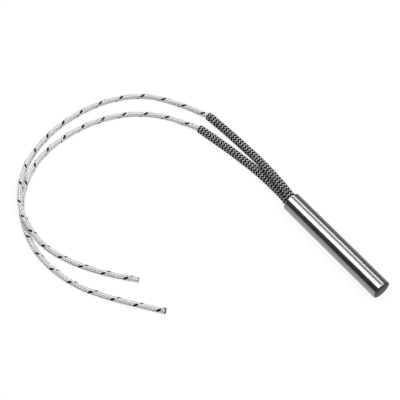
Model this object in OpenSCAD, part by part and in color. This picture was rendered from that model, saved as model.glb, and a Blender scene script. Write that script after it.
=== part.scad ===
/* [Sheath] */
// Outer diameter of the sheath tube
sheath_d = 10; // [8:0.5:16]
// Length of the sheath from its mouth to its closed end
sheath_len = 65; // [50:1:150]
// Wall of the sheath tube
sheath_wall = 0.5; // [0.3:0.05:0.55]
// Bevel turned on the outer edge of the closed end
end_bevel = 0.3; // [0.1:0.05:0.4]

/* [Closed end] */
// Thickness of the welded end disc
disc_t = 2; // [1:0.1:4]
// Depth of the weld groove between the end disc and the tube
weld_groove = 0.15; // [0.05:0.05:0.25]
// Thickness of the ceramic disc behind the end disc
base_t = 1.2; // [0.8:0.1:3]

/* [Ceramic core] */
// Wall of the packed powder between the coil and the sheath
powder_wall = 0.45; // [0.3:0.05:0.6]
// Thickness of the ceramic wafer that closes the heated length
wafer_t = 1.5; // [1:0.1:3]
// Bevel on both ends of each core segment
core_bevel = 0.2; // [0.05:0.05:0.3]

/* [Terminal pins] */
// Diameter of the two terminal pins
pin_d = 1; // [0.8:0.05:1.2]
// How far the short pin reaches into the first core segment
short_pin_grip = 6; // [3:0.5:9]
// Radial clearance of a pin in its ceramic hole
pin_clear = 0.05; // [0.02:0.01:0.1]

/* [Heating coil] */
// Diameter of the resistance wire
wire_d = 0.4; // [0.3:0.05:0.45]
// Distance from one turn to the next
coil_pitch = 1.5; // [1.2:0.1:4]
// Bare core left at each end of the winding
coil_margin = 1; // [0.5:0.1:3]

/* [Leads] */
// Diameter of a braided lead as a share of the sheath's bore
lead_share = 0.3; // [0.26:0.01:0.32]
// How far a lead reaches into the sheath
lead_in = 7.5; // [6.5:0.5:10]
// Angle of the upper lead about the sheath's axis
lead_angle = 75; // [45:5:90]
// Diameter of the stranded conductor where the braid is stripped off
conductor_d = 0.9; // [0.6:0.05:1]
// Length of conductor left bare in front of its crimp
bare_len = 1; // [0.5:0.1:2]

/* [Crimps] */
// Outer diameter of a crimp tube
crimp_d = 1.9; // [1.6:0.05:2.4]
// Length of a crimp tube
crimp_len = 5; // [4:0.1:6]
// Width of each pressed ring round a crimp tube
press_w = 0.8; // [0.4:0.1:1]
// Depth of each pressed ring
press_depth = 0.12; // [0.05:0.01:0.15]

/* [Woven sleeves] */
// Diameter of a sleeve over the crests of its weave as a share of the sheath's bore
sleeve_share = 0.488; // [0.46:0.002:0.49]
// Bore of a sleeve as a share of its diameter
sleeve_bore_share = 0.73; // [0.7:0.01:0.76]
// Half of the gap between the two sleeves at the mouth
sleeve_gap = 0.04; // [0.02:0.01:0.06]
// Height of the woven crests
weave_depth = 0.15; // [0.05:0.01:0.25]
// Distance from one row of crests to the next
weave_pitch = 1.5; // [1.2:0.1:4]
// How far a sleeve reaches into the sheath
sleeve_in = 4; // [2:0.5:5]

/* [Sealing plug] */
// Depth of the plug's face below the mouth of the sheath
plug_recess = 0.5; // [0.2:0.1:1.5]
// Thickness of the plug behind the sleeves
plug_web = 1.5; // [0.5:0.1:2]
// Radial clearance round a lead or sleeve in the plug
plug_clear = 0.1; // [0.1:0.02:0.2]

/* [Hidden] */
$fn = 96;

// Gap between pieces that are packed against each other
seat_gap = 0.05;
// One overrun for every cut
cut = 1;

// Centre line of the upper lead outside the sheath, up to its cut end
free_route_1 = [[-7.5, 1.5, 2], [-15, 2.4, 1.4], [-22.5, 3.1, 0.6], [-30, 3.7, -0.4], [-38, 4, -1.4],
    [-46, 4.1, -2.2], [-53.5, 4, -2.7], [-61, 3.5, -2.75],
    [-68.5, 2.7, -2.75], [-76, 0, -3.3], [-83, -3, -3.6], [-90, -6.8, -3.6], [-96.4, -11, -3.6],
    [-102, -16.6, -3.6], [-106.4, -23.2, -3.6], [-109.6, -30.4, -3.6], [-111.8, -38, -3.6],
    [-112.9, -45.8, -3.6], [-113.2, -53.6, -3.6], [-112.8, -61.4, -3.6], [-111.4, -69, -3.6],
    [-109, -76.4, -3.4], [-105.8, -83.4, -3], [-101.6, -90, -2.2], [-96.4, -95.8, -1.4],
    [-90.4, -101, -0.9], [-84, -105.2, -0.8], [-77, -108.2, -0.75], [-69.4, -109.6, -1.35],
    [-61.6, -109.8, -2.75], [-54, -108.6, -3.4], [-46.6, -106.2, -3.6], [-39.4, -103, -3.6],
    [-32.6, -99.2, -3.6], [-26, -94.8, -3.6], [-19.6, -90, -3.6], [-13.6, -85, -3.6]];
// Centre line of the lower lead outside the sheath
free_route_2 = [[-7.5, 0.2, -2.4], [-15, 0.4, -2.7], [-22, 0.2, -2.75], [-29, -0.3, -2.75],
    [-36, -1.2, -2.75], [-43.5, -2.2, -2.75], [-50.5, -3.4, -2.75], [-58, -4.7, -2.75],
    [-65, -6.1, -2.75], [-72.6, -9.2, -3.3], [-79.6, -12.8, -3.6], [-86.2, -17.4, -3.6],
    [-92, -23.2, -3.6], [-96.8, -29.6, -3.6], [-100.4, -36.8, -3.6], [-103, -44.6, -3.6],
    [-104.6, -52.6, -3.6], [-105.1, -60.6, -3.6], [-104.8, -68.6, -3.6], [-103.4, -76.6, -3.6],
    [-100.8, -84, -3.6], [-97, -91, -3.6], [-92.2, -97.4, -3.6], [-86.4, -103, -3.6],
    [-79.8, -107.4, -3.6], [-72.4, -110.6, -3.6], [-64.8, -113, -3.6], [-56.8, -114.2, -3.6],
    [-48.8, -114.2, -3.6], [-40.8, -113, -3.6], [-33, -111, -3.6], [-25.6, -108, -3.6],
    [-18.4, -104, -3.6], [-11.6, -99.6, -3.6], [-5, -95, -3.6], [1.6, -90.2, -3.6], [8, -85.4, -3.6]];
// Number of route spans that a sleeve covers, counted from the first point
sleeve_spans = 10;

// Sides of a lead, of a sleeve and of the coil wire, and steps in one turn of the coil
lead_sides = 8;
sleeve_sides = 16;
wire_sides = 6;
turn_steps = 14;

// Radii that follow from the driving sizes
sheath_r = sheath_d / 2;
bore_r = sheath_r - sheath_wall;
packed_r = bore_r - seat_gap;
fill_bore_r = packed_r - powder_wall;
coil_r = fill_bore_r - seat_gap - wire_d / 2;
core_r = coil_r * cos(180 / turn_steps) - wire_d / 2 - seat_gap;
pin_hole_r = pin_d / 2 + pin_clear;
crimp_bore_r = max(pin_d, conductor_d) / 2 + pin_clear;
lead_r = lead_share * bore_r;
sleeve_r = sleeve_share * bore_r;
sleeve_bore_r = sleeve_bore_share * sleeve_r;

// Places along the sheath, from the mouth towards the closed end
crimp_x = lead_in + bare_len;
joint_x = crimp_x + crimp_len / 2;
wafer_x = crimp_x + crimp_len + seat_gap;
tail_space = 2 * wire_d;
core_x = wafer_x + wafer_t + tail_space;
disc_x = sheath_len - disc_t;
base_x = disc_x - seat_gap - base_t;
core_end_x = base_x - tail_space;
core_count = 4;
core_step = (core_end_x - core_x + seat_gap) / core_count;
core_len = core_step - seat_gap;
front_tail_x = core_x - tail_space / 2;
back_tail_x = core_end_x + tail_space / 2;

// Where the two leads and their pins run inside the sheath: its two sleeves lie side by side in the mouth
pin_reach = sleeve_r + sleeve_gap;
front_angle = lead_angle;
back_angle = lead_angle - 180;
places = [for (a = [front_angle, back_angle]) pin_reach * [cos(a), sin(a)]];

// Whole centre lines, from the stripped ends inside the sheath
route_1 = concat([for (x = [lead_in, 0]) [x, places[0][0], places[0][1]]], free_route_1);
route_2 = concat([for (x = [lead_in, 0]) [x, places[1][0], places[1][1]]], free_route_2);

// Direction along a path of points, at point i
function heading(path, i) = let (v = path[min(i + 1, len(path) - 1)] - path[max(i - 1, 0)]) v / norm(v);

// Reference direction squared up to a heading
function squared(ref, t) = let (v = ref - (ref * t) * t) v / norm(v);

// Ring of points round one point of a path, at the radii given
function ring(centre, t, ref, radii) = let (u = squared(ref, t), v = cross(t, u), n = len(radii))
    [for (j = [0:n - 1]) centre + radii[j] * (cos(360 * j / n) * u + sin(360 * j / n) * v)];

// Point on a smooth curve through a route, s spans from its first point
function along(route, s) = let (i = min(floor(s), len(route) - 2), f = s - i, b = route[i], c = route[i + 1],
    a = i == 0 ? 2 * b - c : route[i - 1], d = route[min(i + 2, len(route) - 1)])
    b + f / 2 * (c - a + f * (2 * a - 5 * b + 4 * c - d + f * (3 * (b - c) + d - a)));

// Length of a path of points
function path_len(path) = let (spans = [for (i = [1:len(path) - 1]) norm(path[i] - path[i - 1])])
    spans * [for (s = spans) 1];

// Two triangles for each cell between two rings, split from corner to corner by turns when crossed
function skin(rings, sides, start, crossed) = [for (i = [0:rings - 2], j = [0:sides - 1]) let (
    k = (j + 1) % sides, a = start + i * sides + j, b = start + i * sides + k,
    c = b + sides, d = a + sides, other = crossed && (i + j) % 2 == 1)
    each other ? [[a, d, b], [d, c, b]] : [[a, d, c], [a, c, b]]];

function flipped(faces) = [for (f = faces) [f[2], f[1], f[0]]];

// Solid round rod swept along a path, with one reference direction for each point
module rod(path, refs, sides, r) {
    n = len(path);
    points = [for (i = [0:n - 1]) each ring(path[i], heading(path, i), refs[i], [for (j = [1:sides]) r])];
    caps = [[for (j = [0:sides - 1]) j], [for (j = [sides - 1:-1:0]) (n - 1) * sides + j]];
    polyhedron(points, concat(skin(n, sides, 0, false), caps));
}

// Piece turned about the sheath's axis, starting at x
module turned(x) {
    translate([x, 0, 0]) rotate([0, 90, 0]) children();
}

// The two pin holes, cut from x over a length
module pin_holes(x, length, r) {
    for (p = places) translate([0, p[0], p[1]]) turned(x - cut) cylinder(h = length + 2 * cut, r = r);
}

// Drawn steel tube, open at the mouth, bevelled at the closed end, with half of the weld groove
module sheath() {
    color("lightsteelblue") turned(0) rotate_extrude() polygon([
        [bore_r, 0], [sheath_r, 0], [sheath_r, sheath_len - end_bevel], [sheath_r - end_bevel, sheath_len],
        [bore_r + weld_groove, sheath_len], [bore_r, sheath_len - weld_groove]]);
}

// Steel disc welded flush into the closed end
module end_disc() {
    color("slategray") turned(disc_x) rotate_extrude() polygon([[0, 0], [packed_r, 0],
        [packed_r, disc_t - weld_groove], [packed_r - weld_groove, disc_t], [0, disc_t]]);
}

// Ceramic disc that keeps the coil off the end disc
module base_insulator() {
    color("ivory") turned(base_x) cylinder(h = base_t, r = packed_r);
}

// One pressed ceramic core segment with two pin holes
module core(i) {
    x = core_x + i * core_step;
    color("white") difference() {
        turned(x) rotate_extrude() polygon([[0, 0], [core_r - core_bevel, 0], [core_r, core_bevel],
            [core_r, core_len - core_bevel], [core_r - core_bevel, core_len], [0, core_len]]);
        pin_holes(x, core_len, pin_hole_r);
    }
}

// Resistance wire wound on the core, with a tail at each end that turns in to its pin
module heating_coil() {
    tail_r = pin_reach + pin_d / 2 + seat_gap;
    start_x = core_x + coil_margin;
    wound = core_end_x - coil_margin - start_x;
    turns = floor(wound / coil_pitch) + (back_angle - front_angle) / 360;
    steps = round(turns * turn_steps);
    out = function (angle) [0, cos(angle), sin(angle)];
    winding = [for (k = [0:steps]) [start_x + wound * k / steps, 0, 0]
        + coil_r * out(front_angle + 360 * turns * k / steps)];
    path = concat(
        [[front_tail_x, 0, 0] + tail_r * out(front_angle), [front_tail_x, 0, 0] + coil_r * out(front_angle)],
        winding,
        [[back_tail_x, 0, 0] + coil_r * out(back_angle), [back_tail_x, 0, 0] + tail_r * out(back_angle)]);
    refs = concat(
        [[-1, 0, 0], out(front_angle) - [1, 0, 0]],
        [for (k = [0:steps]) out(front_angle + 360 * turns * k / steps)],
        [out(back_angle) + [1, 0, 0], [1, 0, 0]]);
    color("darkgoldenrod") rod(path, refs, wire_sides, wire_d / 2);
}

// Terminal pin at one of the two places, from its crimp to end_x
module pin(place, end_x) {
    start_x = joint_x + seat_gap / 2;
    color("silver") translate([0, places[place][0], places[place][1]])
        turned(start_x) cylinder(h = end_x - start_x, d = pin_d);
}

// Packed magnesia powder between the coil and the sheath
module powder_fill() {
    x = wafer_x + wafer_t + seat_gap;
    length = base_x - seat_gap - x;
    color("whitesmoke") difference() {
        turned(x) cylinder(h = length, r = packed_r);
        turned(x - cut) cylinder(h = length + 2 * cut, r = fill_bore_r);
    }
}

// Ceramic wafer that holds the powder in and the pins apart
module wafer() {
    color("ivory") difference() {
        turned(wafer_x) cylinder(h = wafer_t, r = packed_r);
        pin_holes(wafer_x, wafer_t, pin_hole_r);
    }
}

// Crimp tube that joins a stripped lead to its pin, with two pressed rings
module crimp(place) {
    crimp_r = crimp_d / 2;
    waist_r = crimp_r - press_depth;
    presses = [for (x = [crimp_len / 4, crimp_len * 3 / 4]) each [[crimp_r, x - press_w / 2],
        [waist_r, x - press_w / 2], [waist_r, x + press_w / 2], [crimp_r, x + press_w / 2]]];
    color("gainsboro") translate([0, places[place][0], places[place][1]]) turned(crimp_x)
        rotate_extrude() polygon(concat([[crimp_bore_r, 0], [crimp_r, 0]], presses,
            [[crimp_r, crimp_len], [crimp_bore_r, crimp_len]]));
}

// Stripped end of a lead's conductor, from the braid into the crimp
module lead_conductor(place) {
    start_x = lead_in + seat_gap;
    color("peru") translate([0, places[place][0], places[place][1]])
        turned(start_x) cylinder(h = joint_x - seat_gap / 2 - start_x, d = conductor_d);
}

// Cement plug that seals the mouth round both sleeves and leads
module seal_plug() {
    shoulder_x = sleeve_in + plug_clear;
    length = shoulder_x + plug_web - plug_recess;
    color("lightgray") difference() {
        turned(plug_recess) cylinder(h = length, r = packed_r);
        pin_holes(plug_recess, length, lead_r + plug_clear);
        for (p = places) translate([0, p[0], p[1]])
            turned(plug_recess - cut) cylinder(h = shoulder_x - plug_recess + cut, r = sleeve_r + plug_clear);
    }
}

// Woven sleeve pulled over a lead: crests and hollows by turns along it and round it
module lead_sleeve(route) {
    first = (lead_in - sleeve_in) / lead_in;
    covered = concat([along(route, first)], [for (i = [1:sleeve_spans]) route[i]]);
    rows = 2 * round(path_len(covered) / weave_pitch);
    outer = [for (i = [0:rows]) along(route, first + (sleeve_spans - first) * i / rows)];
    inner_at = concat([0], [for (i = [1:sleeve_spans]) round(rows * (i - first) / (sleeve_spans - first))]);
    hollow = sleeve_r - weave_depth;
    up = [0, 0, 1];
    outer_points = [for (i = [0:rows]) each ring(outer[i], heading(outer, i), up,
        [for (j = [0:sleeve_sides - 1]) (i + j) % 2 == 0 ? sleeve_r : hollow])];
    inner_points = [for (i = inner_at) each ring(outer[i], heading(outer, i), up,
        [for (j = [1:sleeve_sides]) sleeve_bore_r])];
    base = (rows + 1) * sleeve_sides;
    last_outer = rows * sleeve_sides;
    last_inner = base + sleeve_spans * sleeve_sides;
    ends = [for (j = [0:sleeve_sides - 1]) let (k = (j + 1) % sleeve_sides) each [
        [j, k, base + k], [j, base + k, base + j],
        [last_outer + j, last_inner + j, last_inner + k], [last_outer + j, last_inner + k, last_outer + k]]];
    color("dimgray") polyhedron(concat(outer_points, inner_points), concat(
        skin(rows + 1, sleeve_sides, 0, true),
        flipped(skin(sleeve_spans + 1, sleeve_sides, base, false)),
        ends));
}

// Braided lead along its own route
module lead(route) {
    color("white") rod(route, [for (p = route) [0, 0, 1]], lead_sides, lead_r);
}

sheath();
end_disc();
base_insulator();
core(0);  // core_1
core(1);  // core_2
core(2);  // core_3
core(3);  // core_4
heating_coil();
pin(0, core_x + short_pin_grip);  // short_pin
pin(1, base_x - seat_gap);  // long_pin
powder_fill();
wafer();
crimp(0);  // crimp_1
crimp(1);  // crimp_2
lead_conductor(0);  // lead_conductor_1
lead_conductor(1);  // lead_conductor_2
seal_plug();
lead_sleeve(route_1);  // lead_sleeve_1
lead_sleeve(route_2);  // lead_sleeve_2
lead(route_1);  // lead_1
lead(route_2);  // lead_2
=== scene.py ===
import math

import bpy
import numpy as np
from mathutils import Matrix, Vector


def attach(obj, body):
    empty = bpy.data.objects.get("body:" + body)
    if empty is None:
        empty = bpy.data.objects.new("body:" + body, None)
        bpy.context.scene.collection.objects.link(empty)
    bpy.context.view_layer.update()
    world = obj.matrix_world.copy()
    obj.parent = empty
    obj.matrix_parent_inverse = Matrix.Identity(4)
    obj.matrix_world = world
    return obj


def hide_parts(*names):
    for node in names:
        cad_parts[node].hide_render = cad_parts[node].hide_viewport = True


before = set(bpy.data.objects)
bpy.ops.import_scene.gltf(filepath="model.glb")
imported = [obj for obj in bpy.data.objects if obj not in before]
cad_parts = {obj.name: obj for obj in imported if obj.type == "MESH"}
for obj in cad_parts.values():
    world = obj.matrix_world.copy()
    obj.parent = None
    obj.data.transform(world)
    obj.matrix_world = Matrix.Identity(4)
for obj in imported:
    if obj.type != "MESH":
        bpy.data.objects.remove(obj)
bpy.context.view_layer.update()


# The view: the heater lies on a pale bench, seen from well above with its lead end to the left.
# The lens and the distance give the photograph's own slight perspective.
view_azimuth, view_elevation = math.radians(51.12), math.radians(56.55)
view_centre, view_distance = Vector((-0.03154, -0.03269, -0.00512)), 0.6
lens_length, sensor_width, nearest_seen = 107.56, 36, 0.01


def placed(name, data):
    """A new object, put into the scene."""
    thing = bpy.data.objects.new(name, data)
    bpy.context.scene.collection.objects.link(thing)
    return thing


to_camera = Vector((math.sin(view_azimuth) * math.cos(view_elevation),
                    -math.cos(view_azimuth) * math.cos(view_elevation),
                    math.sin(view_elevation)))
camera = placed("camera", bpy.data.cameras.new("camera"))
camera.data.sensor_width = sensor_width
camera.data.lens = lens_length
camera.data.clip_start = nearest_seen
camera.location = view_centre + to_camera * view_distance
camera.rotation_mode = "QUATERNION"
camera.rotation_quaternion = (-to_camera).to_track_quat("-Z", "Y")
bpy.context.scene.camera = camera


# Sheath: a drawn stainless steel tube, swaged down on its contents, open at the mouth where the leads
# leave it and bevelled at the closed end. Drawing leaves it bright, with fine lines along it.
sheath_radius, bore_radius, sheath_end = 0.005, 0.0045, 0.065
lip_drop, lip_run = 0.0003, 0.0004
shoulder_drop, shoulder_run = 0.00009, 0.0001
end_bevel, weld_bevel, edge_rounding = 0.0003, 0.00015, 0.00007


def turned_piece(name, outline, around=180):
    """A closed outline of (x, radius) points, turned about the sheath's axis."""
    count = len(outline)
    angles = np.linspace(0, 2 * math.pi, around, endpoint=False)
    x, radius = np.array(outline).T
    points = np.stack([np.repeat(x[None], around, 0), np.outer(np.cos(angles), radius),
                       np.outer(np.sin(angles), radius)], axis=2).reshape(-1, 3)
    faces = []
    for turn in range(around):
        near, far = turn * count, (turn + 1) % around * count
        for k in range(count):
            after = (k + 1) % count
            faces.append((near + k, near + after, far + after, far + k))
    mesh = bpy.data.meshes.new(name)
    mesh.from_pydata(points, [], faces)
    mesh.validate()
    mesh.update()
    mesh.shade_smooth()
    piece = placed(name, mesh)
    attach(piece, "root")
    return piece


def rounded(outline, reach, steps=5, most_share=0.45, guard_share=0.6):
    """The outline with a short curve at each corner. A guard point at either side of the curve keeps
    the shading of the flat stretches flat."""
    points = [np.array(p, float) for p in outline]
    softened = []
    for k, corner in enumerate(points):
        near, far = [corner + side / np.linalg.norm(side) * min(reach, np.linalg.norm(side) * most_share)
                     for side in (points[k - 1] - corner, points[(k + 1) % len(points)] - corner)]
        softened.append(near + (near - corner) * guard_share)
        for f in np.linspace(0, 1, steps):
            softened.append((1 - f) ** 2 * near + 2 * f * (1 - f) * corner + f ** 2 * far)
        softened.append(far + (far - corner) * guard_share)
    return softened


def new_finish(name):
    """A material with its nodes, its wiring call and its surface shader."""
    material = bpy.data.materials.new(name)
    material.use_nodes = True
    tree = material.node_tree
    return material, tree.nodes, tree.links.new, tree.nodes["Principled BSDF"]


def stretched_noise(nodes, link, stretch, scale, detail=3, source="Object"):
    """Noise over the piece. Stretch times scale gives its patches to a unit of length, each way."""
    places = nodes.new("ShaderNodeTexCoord")
    mapping = nodes.new("ShaderNodeMapping")
    mapping.inputs["Scale"].default_value = stretch
    noise = nodes.new("ShaderNodeTexNoise")
    noise.inputs["Scale"].default_value = scale
    noise.inputs["Detail"].default_value = detail
    link(places.outputs[source], mapping.inputs["Vector"])
    link(mapping.outputs["Vector"], noise.inputs["Vector"])
    return noise.outputs["Fac"]


def grey(value):
    """A colour with one value for red, green and blue."""
    return value, value, value


def ramp_between(nodes, link, value, low, high, start=0.3, end=0.7):
    """A value spread between two colours."""
    ramp = nodes.new("ShaderNodeValToRGB")
    first, last = ramp.color_ramp.elements
    first.position, last.position = start, end
    first.color, last.color = (*low, 1), (*high, 1)
    link(value, ramp.inputs["Fac"])
    return ramp.outputs["Color"]


def raised(nodes, link, value, surface, strength, height):
    """Relief from a value, wired to the surface."""
    relief = nodes.new("ShaderNodeBump")
    relief.inputs["Strength"].default_value = strength
    relief.inputs["Distance"].default_value = height
    link(value, relief.inputs["Height"])
    link(relief.outputs["Normal"], surface.inputs["Normal"])


drawn_steel, nodes, link, surface = new_finish("drawn_steel")
surface.inputs["Metallic"].default_value = 1
draw_lines = stretched_noise(nodes, link, (12, 3600, 3600), 1, detail=4)
link(ramp_between(nodes, link, draw_lines, (0.47, 0.47, 0.475), grey(0.53)), surface.inputs["Base Color"])
link(ramp_between(nodes, link, draw_lines, grey(0.155), grey(0.19)), surface.inputs["Roughness"])
raised(nodes, link, draw_lines, surface, strength=0.03, height=0.00001)

sheath_tube = turned_piece("sheath_tube", rounded([
    (0, bore_radius), (0, sheath_radius - lip_drop), (shoulder_run, sheath_radius - shoulder_drop),
    (lip_run, sheath_radius), (sheath_end - end_bevel, sheath_radius),
    (sheath_end, sheath_radius - end_bevel), (sheath_end, bore_radius + weld_bevel),
    (sheath_end - weld_bevel, bore_radius)], edge_rounding))
sheath_tube.data.materials.append(drawn_steel)
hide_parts("sheath")


# End disc: a turned steel disc, pressed into the tube's end and welded flush all round. Its face is
# dull from the weld's heat and shows the lathe's rings; painted shade makes it darkest along its upper
# edge.
disc_back, disc_radius, disc_centre = 0.063, 0.00445, 0.00001
painted_lighter_towards = (4, 25, -70)

heat_tint_and_painted_shade, nodes, link, surface = new_finish("heat_tint_and_painted_shade")
surface.inputs["Metallic"].default_value = 1
places = nodes.new("ShaderNodeTexCoord")
turning = nodes.new("ShaderNodeTexWave")
turning.wave_type = "RINGS"
turning.rings_direction = "X"
turning.inputs["Scale"].default_value = 1700
turning.inputs["Distortion"].default_value = 0.4
link(places.outputs["Object"], turning.inputs["Vector"])
stain = stretched_noise(nodes, link, (1, 1, 1), 420, detail=4)
# Painted shade: the colour runs from a dark grey at the face's upper edge to the lighter heat-tinted grey
# below.
painted_shade_slope = nodes.new("ShaderNodeVectorMath")
painted_shade_slope.operation = "DOT_PRODUCT"
painted_shade_slope.inputs[1].default_value = painted_lighter_towards
link(places.outputs["Object"], painted_shade_slope.inputs[0])
painted_shade_blend = nodes.new("ShaderNodeMix")
painted_shade_blend.data_type = "RGBA"
link(painted_shade_slope.outputs["Value"], painted_shade_blend.inputs["Factor"])
link(ramp_between(nodes, link, stain, (0.09, 0.09, 0.091), grey(0.15)), painted_shade_blend.inputs["A"])
link(ramp_between(nodes, link, stain, grey(0.26), grey(0.36)), painted_shade_blend.inputs["B"])
link(painted_shade_blend.outputs["Result"], surface.inputs["Base Color"])
link(ramp_between(nodes, link, stain, grey(0.42), grey(0.58)), surface.inputs["Roughness"])
raised(nodes, link, turning.outputs["Fac"], surface, strength=0.25, height=0.000015)

end_face = turned_piece("end_face", rounded([
    (disc_back, disc_centre), (disc_back, disc_radius), (sheath_end - weld_bevel, disc_radius),
    (sheath_end, disc_radius - weld_bevel), (sheath_end, disc_centre)], edge_rounding))
end_face.data.materials.append(heat_tint_and_painted_shade)
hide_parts("end_disc")


# Ceramics: the base insulator, the four core segments and the wafer are pressed from magnesia and
# fired, and packed magnesia powder fills the ring round the coil. All are matt and nearly white.
fired_magnesia, nodes, link, surface = new_finish("fired_magnesia")
grain = stretched_noise(nodes, link, (1, 1, 1), 2600, detail=6)
cream = ramp_between(nodes, link, grain, (0.72, 0.69, 0.62), (0.85, 0.83, 0.77))
link(cream, surface.inputs["Base Color"])
surface.inputs["Roughness"].default_value = 0.85
raised(nodes, link, grain, surface, strength=0.3, height=0.00003)

packed_powder, nodes, link, surface = new_finish("packed_powder")
grain = stretched_noise(nodes, link, (1, 1, 1), 5200, detail=8)
chalk = ramp_between(nodes, link, grain, (0.76, 0.75, 0.72), (0.9, 0.89, 0.87))
link(chalk, surface.inputs["Base Color"])
surface.inputs["Roughness"].default_value = 0.95
raised(nodes, link, grain, surface, strength=0.6, height=0.00004)


def dress(node, finish):
    """Gives a piece kept from the CAD one finish all over."""
    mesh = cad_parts[node].data
    mesh.materials.clear()
    mesh.materials.append(finish)


for node in ("base_insulator", "core_1", "core_2", "core_3", "core_4", "wafer"):
    dress(node, fired_magnesia)
dress("powder_fill", packed_powder)


# Electrical parts: nickel chrome wire wound on the core, two nickel pins, and the crimps that join
# them to the stripped ends of the leads. All are drawn or pressed metal, closed in behind the plug.
resistance_wire, nodes, link, surface = new_finish("resistance_wire")
surface.inputs["Metallic"].default_value = 1
oxide = stretched_noise(nodes, link, (1, 1, 1), 1500, detail=5)
tarnish = ramp_between(nodes, link, oxide, (0.28, 0.26, 0.23), (0.46, 0.44, 0.4))
link(tarnish, surface.inputs["Base Color"])
surface.inputs["Roughness"].default_value = 0.42
raised(nodes, link, oxide, surface, strength=0.2, height=0.00001)

drawn_nickel, nodes, link, surface = new_finish("drawn_nickel")
surface.inputs["Metallic"].default_value = 1
lines = stretched_noise(nodes, link, (60, 6000, 6000), 1)
nickel = ramp_between(nodes, link, lines, (0.56, 0.54, 0.49), (0.66, 0.64, 0.58))
link(nickel, surface.inputs["Base Color"])
surface.inputs["Roughness"].default_value = 0.28
raised(nodes, link, lines, surface, strength=0.15, height=0.00001)

dress("heating_coil", resistance_wire)
for node in ("short_pin", "long_pin", "crimp_1", "crimp_2", "lead_conductor_1", "lead_conductor_2"):
    dress(node, drawn_nickel)


# Leads: nickel-plated strands in lapped insulation under a white glass braid of eight yarns each way,
# over two and under two. One yarn of each lead is black, so that it shows as a row of slanted dashes.
lead_radius, crown_radius, lead_relief = 0.00135, 0.00142, 0.00024
lead_yarns, lead_cells, tracer_spread = 8, 5, 1
upper_flare, lower_flare, flare_mm = 1.02, 1.14, 2.5
lead_fray, fray_wave = 0.00025, 1.9
upper_route = [
    (7.5, 0.579, 2.16), (0, 0.579, 2.16), (-7.5, 1.5, 2), (-15, 2.4, 1.4), (-22.5, 3.1, 0.6),
    (-30, 3.7, -0.4), (-38, 4, -1.4), (-46, 4.1, -2.2), (-53.5, 4, -2.7), (-61, 3.5, -2.75),
    (-68.5, 2.7, -2.75), (-76, 0, -3.3), (-83, -3, -3.6), (-90, -6.8, -3.6), (-96.4, -11, -3.6),
    (-102, -16.6, -3.6), (-106.4, -23.2, -3.6), (-109.6, -30.4, -3.6), (-111.8, -38, -3.6),
    (-112.9, -45.8, -3.6), (-113.2, -53.6, -3.6), (-112.8, -61.4, -3.6), (-111.4, -69, -3.6),
    (-109, -76.4, -3.4), (-105.8, -83.4, -3), (-101.6, -90, -2.2), (-96.4, -95.8, -1.4),
    (-90.4, -101, -0.9), (-84, -105.2, -0.8), (-77, -108.2, -0.75), (-69.4, -109.6, -1.35),
    (-61.6, -109.8, -2.75), (-54, -108.6, -3.4), (-46.6, -106.2, -3.6), (-39.4, -103, -3.6),
    (-32.6, -99.2, -3.6), (-26, -94.8, -3.6), (-19.6, -90, -3.6), (-13.6, -85, -3.6)]
lower_route = [
    (7.5, -0.579, -2.16), (0, -0.579, -2.16), (-7.5, 0.2, -2.4), (-15, 0.4, -2.7), (-22, 0.2, -2.75),
    (-29, -0.3, -2.75), (-36, -1.2, -2.75), (-43.5, -2.2, -2.75), (-50.5, -3.4, -2.75),
    (-58, -4.7, -2.75), (-65, -6.1, -2.75), (-72.6, -9.2, -3.3), (-79.6, -12.8, -3.6),
    (-86.2, -17.4, -3.6), (-92, -23.2, -3.6), (-96.8, -29.6, -3.6), (-100.4, -36.8, -3.6),
    (-103, -44.6, -3.6), (-104.6, -52.6, -3.6), (-105.1, -60.6, -3.6), (-104.8, -68.6, -3.6),
    (-103.4, -76.6, -3.6), (-100.8, -84, -3.6), (-97, -91, -3.6), (-92.2, -97.4, -3.6),
    (-86.4, -103, -3.6), (-79.8, -107.4, -3.6), (-72.4, -110.6, -3.6), (-64.8, -113, -3.6),
    (-56.8, -114.2, -3.6), (-48.8, -114.2, -3.6), (-40.8, -113, -3.6), (-33, -111, -3.6),
    (-25.6, -108, -3.6), (-18.4, -104, -3.6), (-11.6, -99.6, -3.6), (-5, -95, -3.6),
    (1.6, -90.2, -3.6), (8, -85.4, -3.6)]

# The black yarn shows one dash to each turn that it makes. These are some of the dashes, as (number,
# millimetres along the lead), and the degrees by which the leads are twisted at places along them.
upper_dashes = [(-8, -11.1), (0, 79.6), (8, 172.1), (12, 217.3), (14, 234.8), (16, 255.4), (20, 301.2)]
lower_dashes = [(-8, -9.6), (0, 80.1), (9, 183.7), (13, 227.3), (20, 307)]
twist_places = (0, 80, 150, 190, 212, 235, 262, 275, 295)
twist_degrees = (-46, -57, -58, -53, -33, -2, 14, 18, 4)
points_a_span, net_rings_a_bore_ring, yarn_shift = 60, 24, 7.3


def smooth_curve(route):
    """Fine points on the smooth curve through a route's points, and how far along it each one is."""
    route = np.array(route) / 1000
    ends = np.vstack([2 * route[0] - route[1], route, route[-1:]])
    f = np.linspace(0, 1, points_a_span, endpoint=False)[:, None]
    fine = [b + f / 2 * (c - a + f * (2 * a - 5 * b + 4 * c - d + f * (3 * (b - c) + d - a)))
            for a, b, c, d in zip(ends, ends[1:], ends[2:], ends[3:])]
    fine = np.vstack(fine + [ends[-1:]])
    gone = np.concatenate([[0], np.cumsum(np.linalg.norm(np.diff(fine, axis=0), axis=1))])
    return fine, gone


def points_at(fine, gone, places):
    """The points of a smooth curve at distances along it."""
    return np.stack([np.interp(places, gone, fine[:, k]) for k in range(3)], axis=1)


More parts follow.
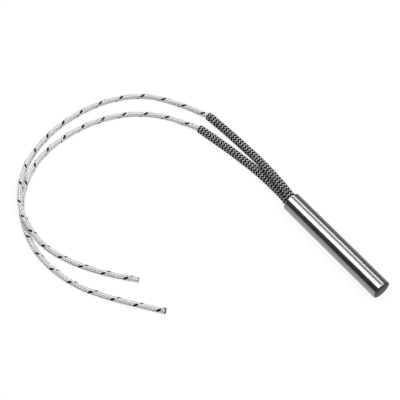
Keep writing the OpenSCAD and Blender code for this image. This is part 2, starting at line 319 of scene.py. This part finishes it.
def across_line(line):
    """Heading, upward and sideways directions at each point of a line."""
    heading = np.gradient(line, axis=0)
    heading /= np.linalg.norm(heading, axis=1)[:, None]
    upward = np.array([0, 0, 1]) - heading[:, 2:3] * heading
    upward /= np.linalg.norm(upward, axis=1)[:, None]
    return heading, upward, np.cross(heading, upward)


def round_line(line, upward, sideways, reach, angle):
    """A ring of points round each point of a line, at a reach and an angle of their own."""
    return line[:, None] + reach[..., None] * (np.cos(angle)[..., None] * upward[:, None]
                                               + np.sin(angle)[..., None] * sideways[:, None])


def yarn_steps(ring, column):
    """How many cells a place of the net lies along the two ways that the yarns run."""
    return column + (ring + 1) // 2, column - ring // 2


def yarn_crowns(left, right, cells):
    """How far a place stands out of the braid, and how much of its colour the painted shade keeps, both
    from 0 to 1. Each yarn has a round back, and rises and sinks as it goes over two yarns and under two."""
    fullness, bluntness, rise_fullness, edge_light = 1.5, 0.7, 1.15, 0.75
    in_left, in_right = left / cells - left // cells, right / cells - right // cells
    state = (left // cells + right // cells) % 4
    across = np.where(state < 2, in_left, in_right)
    along = np.where(state < 2, in_right + state, in_left + state - 2) / 2
    back = np.clip(fullness * np.sin(math.pi * across) ** bluntness, 0, 1)
    rise = np.clip(rise_fullness * np.sin(math.pi * along), 0, 1)
    return back * rise, (edge_light + (1 - edge_light) * back) * np.sin(math.pi * along) ** 2


def corner_of(ring, column, columns):
    """The number of a point of the net, where the last column meets the first."""
    return ring * columns + column % columns


def net_faces(rings, columns):
    """The small diamonds of a net, the triangles that close its ends, and each one's ring and column."""
    ring, column = np.mgrid[1:rings - 1, 0:columns].reshape(2, -1)
    odd, last, each = ring % 2, rings - 1, np.arange(columns)
    diamonds = [(ring - 1, column + odd), (ring, column + 1), (ring + 1, column + odd), (ring, column)]
    first_row = [(0, each), (0, each + 1), (1, each)]
    last_row = [(last - 1, each + last % 2), (last, each + 1), (last, each)]
    faces = [np.stack([corner_of(r, c, columns) for r, c in corners], axis=1)
             for corners in (diamonds, first_row, last_row)]
    face_ring = np.concatenate([ring, np.zeros_like(each), np.full_like(each, last)])
    return faces, face_ring, np.concatenate([column, each, each])


def bore_faces(rings, bore_rings, columns):
    """The faces inside a tube, whose points follow those outside, and the cut faces at its two ends."""
    ring, column = np.mgrid[rings:rings + bore_rings - 1, 0:columns].reshape(2, -1)
    each, last, bore_last = np.arange(columns), rings - 1, rings + bore_rings - 1
    inside = [(ring, column), (ring + 1, column), (ring + 1, column + 1), (ring, column + 1)]
    first_cut = [(0, each + 1), (0, each), (rings, each), (rings, each + 1)]
    last_cut = [(last, each), (last, each + 1), (bore_last, each + 1), (bore_last, each)]
    return [np.stack([corner_of(r, c, columns) for r, c in corners], axis=1)
            for corners in (inside, first_cut, last_cut)]


def places_on_yarns(faces, face_ring, face_column, first, yarns, cells, cell_length):
    """Where each corner of the net's faces lies on its yarn: how far along it, in millimetres and
    shifted from yarn to yarn, and how far across it, from 0 to 1."""
    columns = yarns * cells
    corners = np.concatenate([f.ravel() for f in faces])
    sizes = np.concatenate([np.full(len(f), f.shape[1]) for f in faces])
    face_of = np.repeat(np.arange(len(face_ring)), sizes)
    face_left, face_right = yarn_steps(first + face_ring, face_column)
    yarn_left, yarn_right = (face_left // cells)[face_of], (face_right // cells)[face_of]
    ring, column = corners // columns, corners % columns
    past_seam = (column == 0) & (face_column[face_of] == columns - 1)
    left, right = yarn_steps(first + ring, column + columns * past_seam)
    on_left = (yarn_left + yarn_right) % 4 < 2
    own_shift = np.where(on_left, yarn_left % yarns, yarns + yarn_right % yarns) * yarn_shift
    along = np.where(on_left, right, left) * cell_length + own_shift
    across = np.where(on_left, left / cells - yarn_left, right / cells - yarn_right)
    return np.stack([along, across], axis=1)


def mesh_from(name, points, faces, finish_numbers, shades, on_yarns):
    """A smooth mesh, from its points and groups of faces, each face's finish, each point's painted shade
    and each corner's place on its yarn."""
    corners = np.concatenate([f.ravel() for f in faces])
    sizes = np.concatenate([np.full(len(f), f.shape[1]) for f in faces])
    mesh = bpy.data.meshes.new(name)
    mesh.vertices.add(len(points))
    mesh.vertices.foreach_set("co", points.ravel())
    mesh.loops.add(len(corners))
    mesh.loops.foreach_set("vertex_index", corners)
    mesh.polygons.add(len(sizes))
    mesh.polygons.foreach_set("loop_start", np.concatenate([[0], np.cumsum(sizes)[:-1]]))
    mesh.polygons.foreach_set("loop_total", sizes)
    mesh.polygons.foreach_set("material_index", finish_numbers.astype(np.int32))
    mesh.polygons.foreach_set("use_smooth", np.ones(len(sizes), bool))
    mesh.attributes.new("shade", "FLOAT", "POINT").data.foreach_set("value", shades)
    mesh.uv_layers.new(name="yarn").data.foreach_set("uv", on_yarns.ravel())
    mesh.validate()
    mesh.update()
    return mesh


def braided_tube(name, line, first, radius, relief, yarns, cells, is_dark, turned=0, bore=0, frayed=0):
    """A tube of yarns that run both ways round it, over two and under two. Its mesh is a net of small
    diamonds whose sides follow the yarns, each of them so many cells wide, with rings numbered from an
    even first one. The second finish goes where is_dark says, by the steps along the two ways, and over
    the inside and the cut ends of a tube with a bore, as painted shade."""
    columns, rings = yarns * cells, len(line)
    heading, upward, sideways = across_line(line)
    ring, column = first + np.arange(rings)[:, None], np.arange(columns)[None]
    turned = np.zeros((rings, 1)) + np.reshape(turned, (-1, 1))
    angle = 2 * math.pi * (column + (ring % 2) / 2) / columns + turned
    lift, painted_light = yarn_crowns(*yarn_steps(ring, column), cells)
    reach = np.reshape(radius, (-1, 1)) - relief + relief * lift
    outer = round_line(line, upward, sideways, reach, angle)
    outer[-1] += heading[-1] * (frayed * np.sin(fray_wave * column[0]) ** 2)[:, None]
    # Painted shade: a lead's colour is darkened where its yarns dip under, a sleeve's where its crowns
    # sink.
    points, shades = outer.reshape(-1, 3), (lift if bore else painted_light).ravel()

    faces, face_ring, face_column = net_faces(rings, columns)
    black_yarn_or_painted_shade = is_dark(*yarn_steps(first + face_ring, face_column))
    cell_length = math.hypot(np.linalg.norm(line[1] - line[0]), math.pi * np.min(radius) / columns) * 1000
    on_yarns = places_on_yarns(faces, face_ring, face_column, first, yarns, cells, cell_length)

    if bore:
        coarse = np.linspace(0, rings - 1, max(2, rings // net_rings_a_bore_ring)).round().astype(int)
        angle = 2 * math.pi * column / columns + turned[coarse]
        reach = np.full_like(angle, bore)
        inner = round_line(line[coarse], upward[coarse], sideways[coarse], reach, angle).reshape(-1, 3)
        lining = bore_faces(rings, len(coarse), columns)
        quads = sum(len(f) for f in lining)
        points, shades = np.vstack([points, inner]), np.concatenate([shades, np.zeros(len(inner))])
        # Painted shade: the inside and the cut ends take the black yarn's finish, dark as the sleeve's
        # hollow.
        faces, black_yarn_or_painted_shade = faces + lining, np.concatenate([black_yarn_or_painted_shade, np.ones(quads, bool)])
        on_yarns = np.vstack([on_yarns, np.zeros((4 * quads, 2))])
    return placed(name, mesh_from(name, points, faces, black_yarn_or_painted_shade, shades, on_yarns))


def yarn_finish(name, low, high, painted_valley_shade, painted_shade_span, roughness, shine, filament=0.5):
    """Glass yarn: fine filaments along each yarn, and painted shade that darkens it where the yarns dip
    under.
    """
    material, nodes, link, surface = new_finish(name)
    filaments = stretched_noise(nodes, link, (0.6, 9, 1), 1.6, source="UV")
    colour = ramp_between(nodes, link, filaments, low, high)
    painted_shade_source = nodes.new("ShaderNodeAttribute")
    painted_shade_source.attribute_name = "shade"
    # Painted shade: the point's shade value darkens the yarn's colour, down to the valley grey.
    shade = ramp_between(nodes, link, painted_shade_source.outputs["Fac"], grey(painted_valley_shade), grey(1), *painted_shade_span)
    painted_shade_mix = nodes.new("ShaderNodeMix")
    painted_shade_mix.data_type = "RGBA"
    painted_shade_mix.blend_type = "MULTIPLY"
    painted_shade_mix.inputs["Factor"].default_value = 1
    link(colour, painted_shade_mix.inputs["A"])
    link(shade, painted_shade_mix.inputs["B"])
    link(painted_shade_mix.outputs["Result"], surface.inputs["Base Color"])
    surface.inputs["Roughness"].default_value = roughness
    surface.inputs["Specular IOR Level"].default_value = shine
    raised(nodes, link, filaments, surface, filament, height=0.00004)
    return material


white_yarn = yarn_finish("white_glass_yarn", (0.8, 0.8, 0.795), (0.91, 0.91, 0.905), painted_valley_shade=0.32,
                         painted_shade_span=(0, 1), roughness=0.5, shine=0.3)
tracer_yarn = yarn_finish("black_tracer_yarn", grey(0.004), grey(0.01), painted_valley_shade=0.6,
                          painted_shade_span=(0, 1), roughness=0.6, shine=0.02)

# Painted shade: the insulation is coloured near black for the shadowed recess behind the braid's cut
# edge.
insulation_painted_shade, nodes, link, surface = new_finish("lapped_insulation_painted_shade")
fibres = stretched_noise(nodes, link, (1, 1, 1), 5000, detail=4)
painted_recess_shade = ramp_between(nodes, link, fibres, (0.1, 0.098, 0.095), (0.22, 0.215, 0.21))
link(painted_recess_shade, surface.inputs["Base Color"])
surface.inputs["Roughness"].default_value = 0.8
raised(nodes, link, fibres, surface, strength=0.4, height=0.00003)


def rings_about(middle, directions, rows, around, rough=lambda angle: 1):
    """Rings of points round a middle, one for each (distance ahead, radius), and the faces between."""
    ahead, up, side = directions
    points, faces = [], []
    for x, radius in rows:
        for k in range(around):
            a = 2 * math.pi * k / around
            outward = math.cos(a) * up + math.sin(a) * side
            points.append(middle + ahead * x * rough(a) + radius * rough(a) * outward)
    for start in range(0, (len(rows) - 1) * around, around):
        for k in range(around):
            after = (k + 1) % around
            faces.append((start + k, start + after, start + around + after, start + around + k))
    return points, faces


edge_around, strand_around, strand_radius, strand_start = 64, 12, 0.000085, -0.0009
strand_bevel, strand_unevenness = 0.00002, 0.00006
core_radius, core_centre = 0.0004, 0.00001


def ragged(angle):
    """How far the cut edge strays from round and flat at an angle, as a factor."""
    return 1 + 0.012 * math.sin(9 * angle) + 0.008 * math.sin(23 * angle + 1)


def cut_end(name, line, flare):
    """The cut face of a lead: the braid's edge, the lapped insulation a little behind it and, in a hole
    in the middle, one strand with rings of six and of twelve round it, cut to uneven lengths."""
    heading, upward, sideways = across_line(line)
    tip, directions = line[-1], (heading[-1], upward[-1], sideways[-1])
    edge = crown_radius * flare
    braid_rows = [(-0.0001, edge - 0.00013), (0.0001, edge - 0.0002), (0.00005, edge - 0.00034)]
    core_rows = [(-0.0006, edge - 0.0004), (-0.00055, core_radius), (strand_start, core_radius),
                 (strand_start, core_centre)]
    points, faces = rings_about(tip, directions, braid_rows + core_rows, edge_around, ragged)
    kinds = [0] * ((len(braid_rows) - 1) * edge_around) + [1] * (len(core_rows) * edge_around)
    strands = [(0, 0)] + [(2 * strand_radius, 60 * k) for k in range(6)]
    strands += [(3.86 * strand_radius, 30 * k + 15) for k in range(12)]
    for number, (distance, degrees) in enumerate(strands):
        a = math.radians(degrees)
        middle = tip + distance * (math.cos(a) * upward[-1] + math.sin(a) * sideways[-1])
        top = strand_bevel + strand_unevenness * math.sin(number * 2.4)
        rows = [(strand_start, strand_radius), (top - strand_bevel, strand_radius),
                (top, strand_radius * 0.75)]
        strand_points, strand_faces = rings_about(middle, directions, rows, strand_around)
        strand_faces.append(range(2 * strand_around, 3 * strand_around))
        faces += [tuple(len(points) + k for k in face) for face in strand_faces]
        kinds += [2] * len(strand_faces)
        points += strand_points
    mesh = bpy.data.meshes.new(name)
    mesh.from_pydata(points, [], faces)
    mesh.polygons.foreach_set("material_index", kinds)
    # The braid's rim has no shade value, so it takes the white yarn's full painted valley shade.
    for finish in (white_yarn, insulation_painted_shade, drawn_nickel):
        mesh.materials.append(finish)
    mesh.validate()
    mesh.update()
    piece = placed(name, mesh)
    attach(piece, "root")
    return piece


def one_tracer(left, right):
    """One yarn, where it runs over two others. It is spread a little wider and longer than the rest."""
    wide = left % (lead_yarns * lead_cells) < lead_cells + tracer_spread
    long = (right + 2 * tracer_spread) % (4 * lead_cells) < 2 * lead_cells + 4 * tracer_spread
    return wide & long


# The middle of a dash comes so many rings before the ring at which its turn starts.
rings_a_turn = 2 * lead_cells * lead_yarns
dash_middle = rings_a_turn / 32
leads = {}
for name, route, dashes, flare in (("lead_1", upper_route, upper_dashes, upper_flare),
                                   ("lead_2", lower_route, lower_dashes, lower_flare)):
    fine, gone = smooth_curve(route)
    dash_number, dash_place = np.array(dashes).T
    reach = np.interp([0, gone[-1] * 1000], dash_place, dash_number) * rings_a_turn - dash_middle
    first = 2 * math.ceil(reach[0] / 2)
    number = (np.arange(first, int(reach[1]) + 1) + dash_middle) / rings_a_turn
    places = np.interp(number, dash_number, dash_place)
    line = points_at(fine, gone, places / 1000)
    near_end = np.clip(1 - (places[-1] - places) / flare_mm, 0, 1)
    opened = crown_radius * (1 + (flare - 1) * near_end ** 2)
    line[:, 2] += opened - lead_radius
    twisted = np.radians(np.interp(places, twist_places, twist_degrees))
    lead = braided_tube(name + "_braid", line, first, opened, lead_relief, lead_yarns, lead_cells,
                        one_tracer, turned=twisted, frayed=lead_fray)
    lead.data.materials.append(white_yarn)
    lead.data.materials.append(tracer_yarn)
    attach(lead, "root")
    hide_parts(name)
    leads[name] = (lead, line, cut_end(name + "_cut_end", line, flare))


# Woven sleeves: black and light grey glass yarns, braided as a loose tube and pulled over each lead.
# They are cut square, end beyond the mouth, and are held at the other end by the plug.
sleeve_radius, sleeve_bore, sleeve_relief = 0.002196, 0.001603, 0.0002
sleeve_yarns, sleeve_cells = 16, 5
sleeve_start, sleeve_spans = 0.0035, 10

# Painted shade: both yarns darken where their crowns sink, the grey one nearly to black at its edges.
grey_yarn = yarn_finish("light_grey_yarn", grey(0.44), (0.68, 0.68, 0.67), painted_valley_shade=0.03,
                        painted_shade_span=(0.3, 0.95), roughness=0.5, shine=0.2, filament=0.7)
black_yarn = yarn_finish("black_yarn", grey(0.002), grey(0.008), painted_valley_shade=0.3,
                         painted_shade_span=(0, 1), roughness=0.6, shine=0.03, filament=0.7)


def every_other_yarn(left, right):
    """Black and grey yarns by turns, both ways round."""
    left, right = left // sleeve_cells, right // sleeve_cells
    return np.where((left + right) % 4 < 2, left % 2, 1 - right % 2)


for name, route, node, one_turn in (("lead_1", upper_route, "lead_sleeve_1", 0.0155),
                                    ("lead_2", lower_route, "lead_sleeve_2", 0.0147)):
    fine, gone = smooth_curve(route)
    sleeve_end = gone[sleeve_spans * points_a_span]
    places = np.arange(sleeve_start, sleeve_end, one_turn / (2 * sleeve_yarns * sleeve_cells))
    line = points_at(fine, gone, places)
    sleeve = braided_tube(node + "_weave", line, 0, sleeve_radius, sleeve_relief, sleeve_yarns,
                          sleeve_cells, every_other_yarn, bore=sleeve_bore)
    sleeve.data.materials.append(grey_yarn)
    sleeve.data.materials.append(black_yarn)
    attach(sleeve, "root")
    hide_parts(node)
    lead, path, end_piece = leads[name]


# Sealing plug: heat-proof cement, cast into the mouth round both sleeves. It is matt, with a sandy
# grain, and sits a little below the tube's edge.
cement, nodes, link, surface = new_finish("seal_cement")
grain = stretched_noise(nodes, link, (1, 1, 1), 3000, detail=7)
sand = ramp_between(nodes, link, grain, (0.34, 0.33, 0.31), (0.6, 0.58, 0.55))
link(sand, surface.inputs["Base Color"])
surface.inputs["Roughness"].default_value = 0.92
raised(nodes, link, grain, surface, strength=0.8, height=0.00008)
dress("seal_plug", cement)


# Bench: a pale sheet under the heater, white to the eye. Its glow for reflected rays is a painted pool
# of light, brightest close to the tube, and painted dark past the closed end.
bench_reach, bench_top = 9, -0.00502
painted_pool_width, painted_pool_stops = 0.05, ((0, 0.6), (0.2, 0.57), (0.7, 0.4), (1, 0.28))
painted_dark_from, painted_dark_to, painted_dark_level = 0.066, 0.074, 0.08
shine_share = 0.9


def graded(nodes, link, value, stops):
    """A value turned into a grey, by (value, grey) stops from 0 to 1."""
    ramp = nodes.new("ShaderNodeValToRGB")
    for place, _ in stops[1:-1]:
        ramp.color_ramp.elements.new(place)
    for element, (_, shade) in zip(ramp.color_ramp.elements, stops):
        element.color = (*grey(shade), 1)
    link(value, ramp.inputs["Fac"])
    return ramp.outputs["Color"]


def worked_out(nodes, link, operation, value, other):
    """A sum of a value with another value or a number."""
    node = nodes.new("ShaderNodeMath")
    node.operation = operation
    link(value, node.inputs[0])
    if isinstance(other, (int, float)):
        node.inputs[1].default_value = other
    else:
        link(other, node.inputs[1])
    return node.outputs["Value"]


bench_mesh = bpy.data.meshes.new("bench")
bench_mesh.from_pydata([(x * bench_reach, y * bench_reach, bench_top)
                        for x, y in ((-1, -1), (1, -1), (1, 1), (-1, 1))], [], [(0, 1, 2, 3)])
bench = placed("bench", bench_mesh)

pale_bench, nodes, link, surface = new_finish("pale_bench")
surface.inputs["Base Color"].default_value = (*grey(0.9), 1)
surface.inputs["Roughness"].default_value = 0.9
surface.inputs["Specular IOR Level"].default_value = 0
places = nodes.new("ShaderNodeTexCoord")
plan = nodes.new("ShaderNodeSeparateXYZ")
link(places.outputs["Object"], plan.inputs["Vector"])
beside_tube = nodes.new("ShaderNodeMath")
beside_tube.operation = "ABSOLUTE"
link(plan.outputs["Y"], beside_tube.inputs[0])
# Painted light: a pool of glow on the bench, brightest beside the tube's axis, and painted dark past the
# closed end.
away = worked_out(nodes, link, "MULTIPLY", beside_tube.outputs["Value"], 1 / painted_pool_width)
painted_light_pool = graded(nodes, link, away, painted_pool_stops)
painted_dark_past_end = nodes.new("ShaderNodeMapRange")
for socket, value in (("From Min", painted_dark_from), ("From Max", painted_dark_to),
                      ("To Min", 1), ("To Max", painted_dark_level)):
    painted_dark_past_end.inputs[socket].default_value = value
link(plan.outputs["X"], painted_dark_past_end.inputs["Value"])
painted_pool_glow = nodes.new("ShaderNodeVectorMath")
painted_pool_glow.operation = "SCALE"
link(painted_light_pool, painted_pool_glow.inputs["Vector"])
link(painted_dark_past_end.outputs["Result"], painted_pool_glow.inputs["Scale"])

# The bench glows white to camera rays, and with the painted pool to glossy and transmission rays.
ray = nodes.new("ShaderNodeLightPath").outputs
glow_colour = nodes.new("ShaderNodeMix")
glow_colour.data_type = "RGBA"
glow_colour.inputs["B"].default_value = (*grey(1), 1)
link(ray["Is Camera Ray"], glow_colour.inputs["Factor"])
link(painted_pool_glow.outputs["Vector"], glow_colour.inputs["A"])
shine = nodes.new("ShaderNodeEmission")
link(glow_colour.outputs["Result"], shine.inputs["Color"])
seen = worked_out(nodes, link, "MAXIMUM", ray["Is Camera Ray"], ray["Is Glossy Ray"])
seen = worked_out(nodes, link, "MAXIMUM", seen, ray["Is Transmission Ray"])
blend = nodes.new("ShaderNodeMixShader")
link(worked_out(nodes, link, "MULTIPLY", seen, shine_share), blend.inputs["Fac"])
link(surface.outputs["BSDF"], blend.inputs[1])
link(shine.outputs["Emission"], blend.inputs[2])
link(blend.outputs["Shader"], nodes["Material Output"].inputs["Surface"])
bench_mesh.materials.append(pale_bench)


# Room and lamps: a dim room that is lighter on one side, a wide soft lamp overhead and a narrow one
# beyond the tube, whose reflections make its bright stripes, and a lamp above the closed end.
lighter_side = (-0.3, 0.4, 0)
wall_stops = ((0, 0.012), (0.19, 0.015), (0.26, 0.055), (0.5, 0.05), (0.85, 0.18), (1, 0.19))
lamp_target = Vector((0.032, 0, 0))

world = bpy.data.worlds.new("room")
bpy.context.scene.world = world
world.use_nodes = True
nodes, link = world.node_tree.nodes, world.node_tree.links.new
side = nodes.new("ShaderNodeVectorMath")
side.operation = "DOT_PRODUCT"
side.inputs[1].default_value = lighter_side
link(nodes.new("ShaderNodeTexCoord").outputs["Generated"], side.inputs[0])
walls = graded(nodes, link, worked_out(nodes, link, "ADD", side.outputs["Value"], 0.5), wall_stops)
link(walls, nodes["Background"].inputs["Color"])


def soft_lamp(name, along, angle, width, length, radiance, distance=1.1):
    """A rectangular lamp, its length along the tube, at an angle round the tube up from +Y."""
    lamp = placed(name, bpy.data.lights.new(name, "AREA"))
    a, across = math.radians(angle), math.sqrt(1 - along ** 2)
    place = Vector((along, across * math.cos(a), across * math.sin(a)))
    length_way = (Vector((1, 0, 0)) - place * along).normalized()
    facing = Matrix((length_way, place.cross(length_way), place)).transposed()
    lamp.location = lamp_target + place * distance
    lamp.rotation_mode = "QUATERNION"
    lamp.rotation_quaternion = facing.to_quaternion()
    lamp.data.shape = "RECTANGLE"
    lamp.data.size = length
    lamp.data.size_y = width
    lamp.data.energy = radiance * math.pi * length * width


soft_lamp("lamp_overhead", along=-0.431, angle=106, width=0.64, length=1.2, radiance=3)
soft_lamp("lamp_beyond", along=-0.431, angle=52, width=0.2, length=2, radiance=2.4)
soft_lamp("ceiling_between", along=-0.431, angle=73, width=0.5, length=2, radiance=0.35, distance=1.3)
soft_lamp("lamp_above_right", along=0.35, angle=75, width=0.6, length=0.6, radiance=8.7)

bpy.context.scene.view_settings.view_transform = "Standard"
